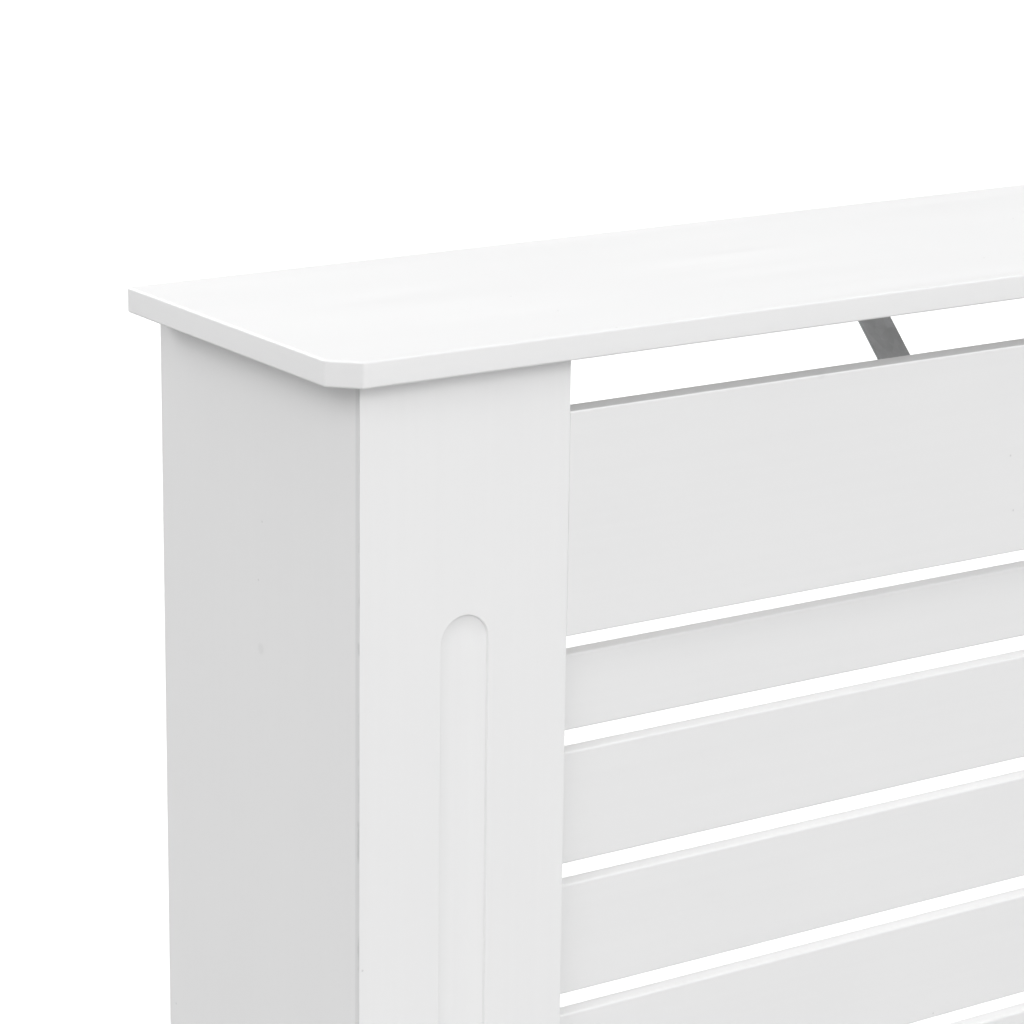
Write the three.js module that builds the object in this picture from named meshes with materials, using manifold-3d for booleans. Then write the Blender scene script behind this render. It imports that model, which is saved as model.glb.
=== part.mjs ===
// Radiator cover cabinet: a free-standing case of white painted board that stands over a radiator.
// Two L-shaped legs, each a side panel mitred to a front post, carry a top board with clipped front
// corners. Two rails lie flush between the posts, and slats are screwed across behind them.
//
// Millimetres, +Z up. The origin is on the floor, under the middle of the top board.
// The front faces -Y and the open back, which goes against the wall, faces +Y. Left is -X.

import * as THREE from 'three';
import { mergeVertices } from 'three/addons/utils/BufferGeometryUtils.js';
import Module from 'manifold-3d';

const wasm = await Module();
wasm.setup();

// ---------------------------------------------------------------- driving sizes

// Overall case
const coverWidth = 780;
const coverDepth = 190;
const coverHeight = 815;

// Board stock
const boardThickness = 12;
const slatThickness = 9;
const battenSize = 18;
const metalThickness = 2;

// Top board
const sideOverhang = 17;
const frontOverhang = 11;
const cornerClip = 12.5;

// Legs
const postWidth = 110;
const mitreGap = 0.4;
const skirtingDepth = 15;
const skirtingHeight = 100;
const battenLift = 15;

// Routed pill-shaped groove in the face of each post
const grooveWidth = 25;
const grooveDepth = 2.5;
const grooveWallRun = 2;
const grooveEndMargin = 112;
const grooveArcSteps = 6;

// Grille: rails and slats, listed from the top board down
const topSlot = 26;
const railHeight = 105;
const railGap = 13;
const narrowSlatHeight = 37;
const slatCount = 6;
const slatGap = 10.5;
const slatLap = 40;
const floorOpening = 63.5;

// Steel stay that ties the top rail to the top board at 45 degrees
const stayWidth = 20;
const stayFoot = 30;
const stayAboveRailEdge = 2;

// Wall brackets
const bracketLeg = 28;
const bracketWidth = 16;
const bracketDrop = 70;
const bracketHoleRadius = 2.5;
const bracketHoleReach = 17;

// Dowels and screws
const dowelRadius = 3;
const dowelLength = 30;
const dowelInset = 26;
const screwRadius = 1.75;
const screwHeadRadius = 3.75;
const screwHeadHeight = 2.2;
const screwCrownRadius = 2.2;
const screwTipLength = 2.6;
const screwBite = 8;
const topScrewInset = 27;
const fitClearance = 0.3;
const roundSides = 8;

// ---------------------------------------------------------------- places worked out from them

const undersideZ = coverHeight - boardThickness;
const legOuterX = coverWidth / 2 - sideOverhang;
const legInnerX = legOuterX - boardThickness;
const postInnerX = legOuterX - postWidth;
const frontY = -coverDepth / 2 + frontOverhang;
const postBackY = frontY + boardThickness;
const slatBackY = postBackY + slatThickness;
const wallY = coverDepth / 2;

const sides = [{ name: 'left', sign: -1 }, { name: 'right', sign: 1 }];

// ---------------------------------------------------------------- finishes

const whitePaint = () => new THREE.MeshStandardMaterial({ color: 0xf3f3f1, roughness: 0.55, metalness: 0 });
const pine = () => new THREE.MeshStandardMaterial({ color: 0xd8b684, roughness: 0.75, metalness: 0 });
const beech = () => new THREE.MeshStandardMaterial({ color: 0xcf9f6a, roughness: 0.7, metalness: 0 });
const zincSteel = () => new THREE.MeshStandardMaterial({ color: 0x9a9da1, roughness: 0.4, metalness: 0.9 });

// ---------------------------------------------------------------- solid helpers

// Closed three.js geometry to a solid that can be cut.
function toSolid(geometry) {
  const bare = geometry.clone();
  bare.deleteAttribute('normal');
  bare.deleteAttribute('uv');
  const merged = mergeVertices(bare, 1e-4);
  const triangles = [];
  const index = merged.index.array;
  for (let i = 0; i < index.length; i += 3) {
    const [a, b, c] = [index[i], index[i + 1], index[i + 2]];
    if (a !== b && b !== c && c !== a) triangles.push(a, b, c);
  }
  return new wasm.Manifold(new wasm.Mesh({
    numProp: 3,
    vertProperties: new Float32Array(merged.attributes.position.array),
    triVerts: new Uint32Array(triangles),
  }));
}

// Solid back to a three.js geometry.
function toGeometry(solid) {
  const mesh = solid.getMesh();
  const geometry = new THREE.BufferGeometry();
  geometry.setAttribute('position', new THREE.BufferAttribute(new Float32Array(mesh.vertProperties), 3));
  geometry.setIndex(new THREE.BufferAttribute(new Uint32Array(mesh.triVerts), 1));
  geometry.computeVertexNormals();
  return geometry;
}

function cut(geometry, cutters) {
  let solid = toSolid(geometry);
  for (const cutter of cutters) solid = solid.subtract(toSolid(cutter));
  return toGeometry(solid);
}

// Box between two corners.
function block(low, high) {
  const size = high.map((value, axis) => value - low[axis]);
  const middle = high.map((value, axis) => (value + low[axis]) / 2);
  return new THREE.BoxGeometry(...size).translate(...middle);
}

// Box on the left (-1) or right (+1) half, from an outer x inwards, with [y, z] corners.
function sideBlock(sign, outerX, width, [lowY, lowZ], [highY, highZ]) {
  const middleX = sign * (outerX - width / 2);
  return block([middleX - width / 2, lowY, lowZ], [middleX + width / 2, highY, highZ]);
}

// Flat outline of [x, y] points, standing from z = low to z = high.
function upright(points, low, high) {
  const shape = new THREE.Shape(points.map(([x, y]) => new THREE.Vector2(x, y)));
  const geometry = new THREE.ExtrudeGeometry(shape, { depth: high - low, bevelEnabled: false });
  return geometry.translate(0, 0, low);
}

// Turns a shape made along +Z so that it points along the given direction, then moves it to a point.
function aim(geometry, direction, point) {
  const turn = new THREE.Quaternion().setFromUnitVectors(new THREE.Vector3(0, 0, 1), direction);
  return geometry.applyQuaternion(turn).translate(...point);
}

// Round bar or drill along a direction, starting at a point.
function round(radius, length, direction, point) {
  const bar = new THREE.CylinderGeometry(radius, radius, length, roundSides);
  return aim(bar.rotateX(Math.PI / 2).translate(0, 0, length / 2), direction, point);
}

// Pan-head screw: the underside of its head is at the point, and its shank runs along the direction.
function screw(length, direction, point) {
  const profile = [
    [0, -screwHeadHeight], [screwCrownRadius, -screwHeadHeight], [screwHeadRadius, -screwHeadHeight / 2],
    [screwHeadRadius, 0], [screwRadius, 0], [screwRadius, length - screwTipLength], [0, length],
  ].map(([radius, along]) => new THREE.Vector2(radius, along));
  const turned = new THREE.LatheGeometry(profile, roundSides).rotateX(Math.PI / 2);
  return toGeometry(toSolid(aim(turned, direction, point)));
}

// Hole for a screw's shank, from just before the point to just past the shank's end.
function screwHole(length, direction, point) {
  const start = new THREE.Vector3(...point).addScaledVector(direction, -fitClearance);
  return round(screwRadius + fitClearance, length + 2 * fitClearance, direction, start.toArray());
}

const alongX = new THREE.Vector3(1, 0, 0);
const alongY = new THREE.Vector3(0, 1, 0);
const alongZ = new THREE.Vector3(0, 0, 1);
const forward = alongY.clone().negate();
const outward = (sign) => alongX.clone().multiplyScalar(sign);

// ---------------------------------------------------------------- the grille's layout

// The wide slats share the height that the rails, the narrow slats and the openings leave.
const endStack = railHeight + railGap + narrowSlatHeight;
const slatField = undersideZ - topSlot - 2 * endStack - floorOpening;
const slatHeight = (slatField - (slatCount + 1) * slatGap) / slatCount;

function grilleRows() {
  const rows = [
    { name: 'top_rail', height: railHeight, gap: topSlot, flush: true },
    { name: 'narrow_slat_upper', height: narrowSlatHeight, gap: railGap },
  ];
  for (let number = 1; number <= slatCount; number += 1) {
    rows.push({ name: `slat_${number}`, height: slatHeight, gap: slatGap });
  }
  rows.push({ name: 'narrow_slat_lower', height: narrowSlatHeight, gap: slatGap });
  rows.push({ name: 'bottom_rail', height: railHeight, gap: railGap, flush: true });
  let top = undersideZ;
  for (const row of rows) {
    row.top = top - row.gap;
    row.bottom = row.top - row.height;
    top = row.bottom;
  }
  return rows;
}

const rows = grilleRows();
const rails = rows.filter((row) => row.flush);
const slats = rows.filter((row) => !row.flush);

// ---------------------------------------------------------------- fastener places

const slatScrewLength = slatThickness + screwBite;
const slatScrewX = postInnerX + slatLap / 2;
const slatScrewPoint = (sign, row) => [sign * slatScrewX, slatBackY, (row.top + row.bottom) / 2];

const dowelY = (frontY + postBackY) / 2;
const dowelHeights = rails.flatMap((row) => [
  { rail: row, place: 'high', z: row.top - dowelInset },
  { rail: row, place: 'low', z: row.bottom + dowelInset },
]);

const topBattenFrontY = postBackY + battenSize;
const topBattenBackY = wallY - skirtingDepth;
const topBattenX = legInnerX - battenSize / 2;
const topScrewLength = battenSize + screwBite;
const topScrewYs = { front: topBattenFrontY + topScrewInset, back: topBattenBackY - topScrewInset };
const topScrewPoint = (sign, y) => [sign * topBattenX, y, undersideZ - battenSize];

const stayLowZ = rails[0].bottom + stayAboveRailEdge;
const stayBackY = postBackY + undersideZ - stayLowZ;
const stayScrewLength = metalThickness + screwBite;
const stayScrewInset = screwHeadRadius + metalThickness;
const stayRailScrew = [0, postBackY + metalThickness, stayLowZ + stayFoot - stayScrewInset];
const stayTopScrew = [0, stayBackY - stayFoot + stayScrewInset, undersideZ - metalThickness];

const bracketTopZ = undersideZ - bracketDrop;
const bracketMiddleZ = bracketTopZ - bracketWidth / 2;
const bracketScrewY = wallY - bracketHoleReach;
const bracketScrewLength = metalThickness + screwBite;
const bracketScrewPoint = (sign) => [sign * (legInnerX - metalThickness), bracketScrewY, bracketMiddleZ];

// ---------------------------------------------------------------- pieces

const cabinet = new THREE.Group();

function add(name, geometry, material, parent = cabinet) {
  const mesh = new THREE.Mesh(geometry, material);
  mesh.name = name;
  parent.add(mesh);
}

// Top board with both front corners clipped, drilled from below for the screws that hold it.
function topBoard() {
  const [halfWidth, front, back] = [coverWidth / 2, -coverDepth / 2, coverDepth / 2];
  const outline = [
    [-halfWidth, back], [-halfWidth, front + cornerClip], [-halfWidth + cornerClip, front],
    [halfWidth - cornerClip, front], [halfWidth, front + cornerClip], [halfWidth, back],
  ];
  const holes = [screwHole(stayScrewLength, alongZ, stayTopScrew)];
  for (const { sign } of sides) {
    for (const y of Object.values(topScrewYs)) {
      holes.push(screwHole(topScrewLength, alongZ, topScrewPoint(sign, y)));
    }
  }
  return cut(upright(outline, undersideZ, coverHeight), holes);
}

// Side panel: its front edge is mitred to the post, its back foot is cut out over the skirting board.
function sidePanel(sign) {
  const outline = [
    [sign * legOuterX, frontY + mitreGap], [sign * legOuterX, wallY],
    [sign * legInnerX, wallY], [sign * legInnerX, postBackY + mitreGap],
  ];
  const past = boardThickness;
  const skirting = sideBlock(
    sign, legOuterX + past, boardThickness + 2 * past,
    [wallY - skirtingDepth, -past], [wallY + past, skirtingHeight],
  );
  const bracketHole = screwHole(bracketScrewLength, outward(sign), bracketScrewPoint(sign));
  return cut(upright(outline, 0, undersideZ), [skirting, bracketHole]);
}

// Cutter for the pill-shaped groove: its floor is narrower than its mouth by the run of its walls.
function grooveCutter(x) {
  const floorRadius = grooveWidth / 2 - grooveWallRun;
  const low = grooveEndMargin + grooveWidth / 2;
  const high = undersideZ - grooveEndMargin - grooveWidth / 2;
  const pill = new THREE.Shape();
  pill.absarc(0, high, floorRadius, 0, Math.PI, false);
  pill.absarc(0, low, floorRadius, Math.PI, 2 * Math.PI, false);
  const cutter = new THREE.ExtrudeGeometry(pill, {
    depth: grooveDepth, curveSegments: grooveArcSteps,
    bevelEnabled: true, bevelSegments: 1, bevelSize: grooveWallRun, bevelThickness: grooveDepth,
  });
  // The outline's +Y becomes +Z, and the bevelled end points into the post.
  return cutter.rotateX(Math.PI / 2).translate(x, frontY, 0);
}

// Front post: mitred outer edge, groove in the face, dowel holes in the inner edge, screw holes behind.
function frontPost(sign) {
  const outline = [
    [sign * postInnerX, frontY], [sign * legOuterX, frontY],
    [sign * legInnerX, postBackY], [sign * postInnerX, postBackY],
  ];
  const cutters = [grooveCutter(sign * (postInnerX + postWidth / 2))];
  for (const { z } of dowelHeights) cutters.push(dowelHole(sign, z));
  for (const row of slats) cutters.push(screwHole(slatScrewLength, forward, slatScrewPoint(sign, row)));
  return cut(upright(outline, 0, undersideZ), cutters);
}

// Dowels lie half in the rail's end and half in the post's inner edge.
function dowel(sign, z) {
  const start = [sign * postInnerX - dowelLength / 2, dowelY, z];
  return round(dowelRadius, dowelLength, alongX, start);
}

function dowelHole(sign, z) {
  const start = [sign * postInnerX - dowelLength / 2 - fitClearance, dowelY, z];
  return round(dowelRadius + fitClearance, dowelLength + 2 * fitClearance, alongX, start);
}

// Rail that lies flush between the posts.
function rail(row) {
  const board = block([-postInnerX, frontY, row.bottom], [postInnerX, postBackY, row.top]);
  const holes = dowelHeights.filter((entry) => entry.rail === row)
    .flatMap((entry) => sides.map(({ sign }) => dowelHole(sign, entry.z)));
  if (row === rails[0]) holes.push(screwHole(stayScrewLength, forward, stayRailScrew));
  return cut(board, holes);
}

// Slat that laps behind both posts.
function slat(row) {
  const end = postInnerX + slatLap;
  const board = block([-end, postBackY, row.bottom], [end, slatBackY, row.top]);
  return cut(board, sides.map(({ sign }) => screwHole(slatScrewLength, forward, slatScrewPoint(sign, row))));
}

// Square batten glued into the inside corner of each leg.
function cornerBatten(sign) {
  return sideBlock(sign, legInnerX, battenSize, [postBackY, battenLift], [topBattenFrontY, undersideZ]);
}

// Square batten glued along the top of each side panel, which carries the top board.
function topBatten(sign) {
  const bar = sideBlock(
    sign, legInnerX, battenSize,
    [topBattenFrontY, undersideZ - battenSize], [topBattenBackY, undersideZ],
  );
  const holes = Object.values(topScrewYs)
    .map((y) => screwHole(topScrewLength, alongZ, topScrewPoint(sign, y)));
  return cut(bar, holes);
}

// Folded steel stay, drawn in the [y, z] plane. Its slope runs from a fold behind the top rail to a
// fold under the top board, and both feet turn in towards the corner between those boards.
function cornerStay() {
  const slopeDrop = metalThickness * Math.SQRT2;
  const railFaceY = postBackY + metalThickness;
  const topFaceZ = undersideZ - metalThickness;
  const outline = [
    [postBackY, stayLowZ], [stayBackY, undersideZ],
    [stayBackY - stayFoot, undersideZ], [stayBackY - stayFoot, topFaceZ],
    [stayBackY - metalThickness - slopeDrop, topFaceZ], [railFaceY, stayLowZ + metalThickness + slopeDrop],
    [railFaceY, stayLowZ + stayFoot], [postBackY, stayLowZ + stayFoot],
  ];
  // The outline's two axes become Y and Z, and its thickness runs along X.
  const toYZ = new THREE.Matrix4().makeBasis(alongY, alongZ, alongX);
  const strap = upright(outline, -stayWidth / 2, stayWidth / 2).applyMatrix4(toYZ);
  return cut(strap, [
    screwHole(stayScrewLength, forward, stayRailScrew),
    screwHole(stayScrewLength, alongZ, stayTopScrew),
  ]);
}

// Steel angle: one leg screwed inside the side panel, one leg flat against the wall.
function wallBracket(sign) {
  const [low, high] = [bracketTopZ - bracketWidth, bracketTopZ];
  const face = sign * legInnerX;
  const outline = [
    [face, wallY - bracketLeg], [face, wallY], [face - sign * bracketLeg, wallY],
    [face - sign * bracketLeg, wallY - metalThickness],
    [face - sign * metalThickness, wallY - metalThickness],
    [face - sign * metalThickness, wallY - bracketLeg],
  ];
  const past = metalThickness;
  const wallHole = round(
    bracketHoleRadius, metalThickness + 2 * past, alongY,
    [face - sign * bracketHoleReach, wallY - metalThickness - past, bracketMiddleZ],
  );
  const sideHole = screwHole(bracketScrewLength, outward(sign), bracketScrewPoint(sign));
  return cut(upright(outline, low, high), [wallHole, sideHole]);
}

// ---------------------------------------------------------------- assembly

add('top_board', topBoard(), whitePaint());

for (const { name, sign } of sides) {
  const leg = new THREE.Group();
  add(`${name}_side_panel`, sidePanel(sign), whitePaint(), leg);
  add(`${name}_front_post`, frontPost(sign), whitePaint(), leg);
  add(`${name}_corner_batten`, cornerBatten(sign), pine(), leg);
  add(`${name}_top_batten`, topBatten(sign), pine(), leg);
  add(`${name}_wall_bracket`, wallBracket(sign), zincSteel(), leg);
  const bracketScrew = screw(bracketScrewLength, outward(sign), bracketScrewPoint(sign));
  add(`${name}_bracket_screw`, bracketScrew, zincSteel(), leg);
  for (const [place, y] of Object.entries(topScrewYs)) {
    const topScrew = screw(topScrewLength, alongZ, topScrewPoint(sign, y));
    add(`${name}_top_screw_${place}`, topScrew, zincSteel(), leg);
  }
  for (const { rail: row, place, z } of dowelHeights) {
    add(`${name}_${row.name}_dowel_${place}`, dowel(sign, z), beech(), leg);
  }
  cabinet.add(leg);
}

for (const row of rails) add(row.name, rail(row), whitePaint());

for (const row of slats) {
  add(row.name, slat(row), whitePaint());
  for (const { name, sign } of sides) {
    const slatScrew = screw(slatScrewLength, forward, slatScrewPoint(sign, row));
    add(`${row.name}_screw_${name}`, slatScrew, zincSteel());
  }
}

add('corner_stay', cornerStay(), zincSteel());
add('stay_rail_screw', screw(stayScrewLength, forward, stayRailScrew), zincSteel());
add('stay_top_screw', screw(stayScrewLength, alongZ, stayTopScrew), zincSteel());

export default cabinet;
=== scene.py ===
"""Looks of a radiator cover cabinet in white painted board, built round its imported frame.

Every length here is in metres, in the frame's own axes: +Z up, the front towards -Y and left
towards -X. Where a piece stands is read from the frame; a class adds only what a maker would add
by hand: arrises, the section of the routed groove, folds, threads and the finishes.
"""

from __future__ import annotations

import logging
import math
from dataclasses import dataclass
from enum import Enum
from typing import Callable, Sequence, Union

import bmesh
import bpy
from mathutils import Matrix, Vector


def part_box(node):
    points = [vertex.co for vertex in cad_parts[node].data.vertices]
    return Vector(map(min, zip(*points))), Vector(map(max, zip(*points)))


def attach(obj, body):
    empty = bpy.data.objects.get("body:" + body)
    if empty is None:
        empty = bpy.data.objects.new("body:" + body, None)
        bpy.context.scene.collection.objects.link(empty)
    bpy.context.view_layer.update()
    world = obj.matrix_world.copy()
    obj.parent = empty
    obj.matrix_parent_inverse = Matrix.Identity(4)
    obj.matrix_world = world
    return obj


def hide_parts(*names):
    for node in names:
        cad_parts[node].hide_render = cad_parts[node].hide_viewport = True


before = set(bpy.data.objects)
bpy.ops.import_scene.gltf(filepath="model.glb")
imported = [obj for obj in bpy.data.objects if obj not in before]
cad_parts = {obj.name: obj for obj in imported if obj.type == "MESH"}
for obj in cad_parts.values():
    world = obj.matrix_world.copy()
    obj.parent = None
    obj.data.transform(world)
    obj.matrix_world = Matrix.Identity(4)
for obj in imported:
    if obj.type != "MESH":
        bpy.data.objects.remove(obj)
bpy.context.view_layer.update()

MM = 0.001
BODY = "root"

Colour = tuple[float, float, float]
Value = Union[float, int, Sequence[float], bpy.types.NodeSocket]
Point = tuple[float, float]
Radius = Callable[[float], float]

# Brighter copy of the white paint: painted light on the top board, and a shade brighter on the posts.
BRIGHTER_WHITE: Colour = (0.912, 0.912, 0.912)
BRIGHTER_WHITE_DULL: Colour = (0.900, 0.900, 0.901)

# Parts of a noise's range that a finish spreads over its whole own range.
NARROW: Point = (0.3, 0.7)
MIDDLE: Point = (0.25, 0.75)
WIDE: Point = (0.2, 0.8)

log = logging.getLogger("radiator_cover")


class Side(Enum):
    """The two legs of the cover, each with the sign of its X coordinates."""

    LEFT = -1
    RIGHT = 1

    @property
    def word(self) -> str:
        """The side's name as the frame spells it."""
        return self.name.lower()


class Run(Enum):
    """The axis that a board's sanding marks or a stick's grain run along."""

    ALONG_X = 0
    ALONG_Y = 1
    ALONG_Z = 2


class Slot(Enum):
    """The record's material slots."""

    BOARD = "painted_board"
    PINE = "pine_batten"
    BEECH = "beech_dowel"
    STEEL = "zinc_steel"
    SCREW = "zinc_screw"


# ------------------------------------------------------------------ node trees


class Graph:
    """Fills one node tree, for a material, the world or a geometry modifier."""

    def __init__(self, tree: bpy.types.NodeTree) -> None:
        """Keeps the tree and empties it.

        Args:
            tree: The node tree to fill.
        """
        self.tree = tree
        self.tree.nodes.clear()

    def wire(self, socket: bpy.types.NodeSocket, value: Value) -> None:
        """Links a socket to another, or sets its value.

        Args:
            socket: The input socket.
            value: An output socket, or a plain value.
        """
        if isinstance(value, bpy.types.NodeSocket):
            self.tree.links.new(value, socket)
        else:
            socket.default_value = value

    def add(self, kind: str, inputs: dict[Union[str, int], Value] | None = None,
            **settings: object) -> bpy.types.Node:
        """Adds a node.

        Args:
            kind: Blender's name for the node type.
            inputs: Values or links for its input sockets, by name or index.
            **settings: The node's own properties.

        Returns:
            The new node.
        """
        node = self.tree.nodes.new(kind)
        for name, value in settings.items():
            setattr(node, name, value)
        for key, value in (inputs or {}).items():
            self.wire(node.inputs[key], value)
        return node

    def math(self, operation: str, *values: Value) -> bpy.types.NodeSocket:
        """Adds a scalar sum, product or function of the values and returns its result."""
        return self.add("ShaderNodeMath", dict(enumerate(values)), operation=operation).outputs[0]

    def vector(self, operation: str, *values: Value) -> bpy.types.NodeSocket:
        """Adds a vector operation on the values and returns its result."""
        node = self.add("ShaderNodeVectorMath", dict(enumerate(values)), operation=operation)
        return node.outputs["Value" if operation in ("LENGTH", "DOT_PRODUCT", "DISTANCE") else "Vector"]

    def weigh(self, *terms: tuple[Value, float]) -> bpy.types.NodeSocket:
        """Adds up values, each times its weight.

        Args:
            *terms: A value and its weight, for each term.

        Returns:
            The sum.
        """
        total, *others = [self.math("MULTIPLY", value, weight) for value, weight in terms]
        for share in others:
            total = self.math("ADD", total, share)
        return total

    def join(self, **parts: Value) -> bpy.types.NodeSocket:
        """Joins X, Y and Z into a vector, with 0 for what isn't given."""
        return self.add("ShaderNodeCombineXYZ", parts).outputs["Vector"]

    def split(self, value: Value) -> Sequence[bpy.types.NodeSocket]:
        """Splits a vector into X, Y and Z."""
        return self.add("ShaderNodeSeparateXYZ", {"Vector": value}).outputs

    def spread(self, value: Value, source: Point, target: Point = (0.0, 1.0)) -> bpy.types.NodeSocket:
        """Maps one range of numbers onto another, held at its ends.

        Args:
            value: The number to map.
            source: Lowest and highest number read.
            target: What they become.

        Returns:
            The mapped number.
        """
        inputs = {"Value": value, "From Min": source[0], "From Max": source[1],
                  "To Min": target[0], "To Max": target[1]}
        return self.add("ShaderNodeMapRange", inputs, interpolation_type="SMOOTHSTEP").outputs["Result"]

    def noise(self, place: Value, scale: float, detail: float = 2.0) -> bpy.types.NodeSocket:
        """Adds cloudy noise, from 0 to 1.

        Args:
            place: Where the noise is read.
            scale: Clouds per metre.
            detail: Octaves of finer clouds.

        Returns:
            The noise's strength.
        """
        inputs = {"Vector": place, "Scale": scale, "Detail": detail}
        return self.add("ShaderNodeTexNoise", inputs).outputs["Fac"]

    def streaks(self, place: Value, run: Run, repeats: Point, detail: float = 2.0) -> bpy.types.NodeSocket:
        """Adds noise that is drawn out along one axis, from 0 to 1.

        Args:
            place: Where the noise is read.
            run: The axis that the streaks follow.
            repeats: Repeats per metre along that axis and across it.
            detail: Octaves of finer streaks.

        Returns:
            The noise's strength.
        """
        return self.noise(self.vector("MULTIPLY", place, stretch(run, *repeats)), 1.0, detail)

    def tint(self, factor: Value, first: Value, second: Value) -> bpy.types.NodeSocket:
        """Mixes two colours.

        Args:
            factor: 0 for the first colour, 1 for the second.
            first: A colour.
            second: Another colour.

        Returns:
            The mixed colour.
        """
        colours = [(*c, 1.0) if isinstance(c, tuple) else c for c in (first, second)]
        # The node has a socket of the same name for every type of value, so these go by their index.
        node = self.add("ShaderNodeMix", {0: factor, 6: colours[0], 7: colours[1]}, data_type="RGBA")
        return node.outputs[2]

    def bump(self, height: Value, depth: float, under: Value | None = None) -> bpy.types.NodeSocket:
        """Turns heights from 0 to 1 into a surface that deep.

        Args:
            height: The height.
            depth: What a height of 1 measures, in metres.
            under: A coarser bumped normal that this one lies on.

        Returns:
            The bent normal.
        """
        inputs = {"Height": height, "Distance": depth, "Strength": 1.0}
        if under is not None:
            inputs["Normal"] = under
        return self.add("ShaderNodeBump", inputs).outputs["Normal"]


def new_material(name: str) -> tuple[bpy.types.Material, Graph, bpy.types.Node]:
    """Makes an empty material with a shader at its output.

    Args:
        name: The material's name.

    Returns:
        The material, the graph of its nodes and its shader node.
    """
    material = bpy.data.materials.new(name)
    material.use_nodes = True
    graph = Graph(material.node_tree)
    shader = graph.add("ShaderNodeBsdfPrincipled")
    graph.add("ShaderNodeOutputMaterial", {"Surface": shader.outputs["BSDF"]})
    return material, graph, shader


def stretch(run: Run, along: float, across: float) -> tuple[float, float, float]:
    """Scales of a pattern that is drawn out along one axis.

    Args:
        run: The axis that the pattern follows.
        along: Repeats per metre along it.
        across: Repeats per metre across it.

    Returns:
        The scale for each axis.
    """
    return tuple(along if axis == run.value else across for axis in range(3))


# ------------------------------------------------------------------ finishes


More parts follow.
